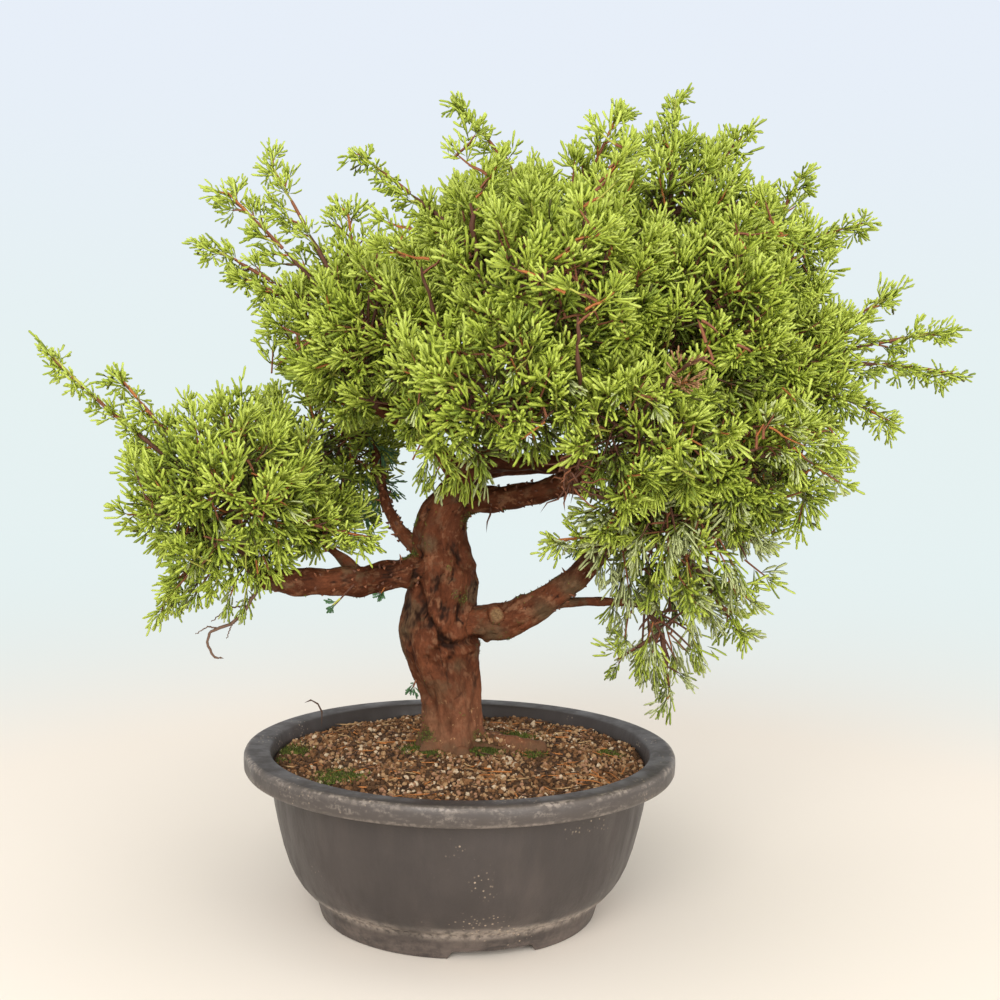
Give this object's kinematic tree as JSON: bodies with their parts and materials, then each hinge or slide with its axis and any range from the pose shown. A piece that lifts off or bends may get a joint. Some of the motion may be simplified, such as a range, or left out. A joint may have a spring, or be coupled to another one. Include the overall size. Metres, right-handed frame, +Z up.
{
  "type": "itoigawa chinese juniper bonsai in a pot",
  "caption": "Small juniper bonsai with a twisting reddish trunk, spreading boughs and dense sprays of scale foliage, in a round dark plastic pot of soil.",
  "frame": {"origin": "centre of the whole tree's box at the level of the pot's underside", "axes": "+Z up the trunk, +X to the tree's right as seen from its front, front faces -Y"},
  "size_m": [0.4892, 0.2874, 0.447],
  "materials": {
    "pot": "scuffed dark grey moulded plastic",
    "soil": "loose brown granules with moss and dry litter",
    "bark": "fibrous red-brown bark",
    "dead_wood": "bare grey-brown twig",
    "foliage": "matt yellow-green scale leaves",
    "foliage_back": "matt deep green scale leaves"
  },
  "bodies": {
    "root": {"pot": "pot", "soil": "soil", "trunk": "bark", "bough_lower_right": "bark", "bough_lower_right_side": "bark", "bough_left": "bark", "bough_left_inner": "bark", "bough_left_back": "bark", "bough_upper_left": "bark", "bough_upper_right": "bark", "bough_right_middle": "bark", "bough_front_right": "bark", "bough_right": "bark", "bough_back_right_side": "bark", "bough_back_right_low": "bark", "bough_front": "bark", "bough_front_upper": "bark", "bough_right_inner": "bark", "bough_crown_left": "bark", "bough_top": "bark", "bough_right_upper": "bark", "bough_back_left": "bark", "bough_back_right": "bark", "bough_back_top": "bark", "dead_twig_left": "dead_wood", "foliage_left_pad": "foliage", "foliage_left_inner": "foliage", "foliage_left_back": "foliage_back", "foliage_upper_left": "foliage", "foliage_crown_left": "foliage", "foliage_top": "foliage", "foliage_apex": "foliage", "foliage_right_upper": "foliage", "foliage_right": "foliage", "foliage_right_middle": "foliage", "foliage_right_low": "foliage", "foliage_right_hanging": "foliage", "foliage_front": "foliage", "foliage_front_upper": "foliage", "foliage_front_right": "foliage", "foliage_right_inner": "foliage", "foliage_back_left": "foliage_back", "foliage_back_right": "foliage_back", "foliage_back_top": "foliage_back", "foliage_back_right_low": "foliage_back", "foliage_back_right_side": "foliage_back"}
  },
  "joints": []
}
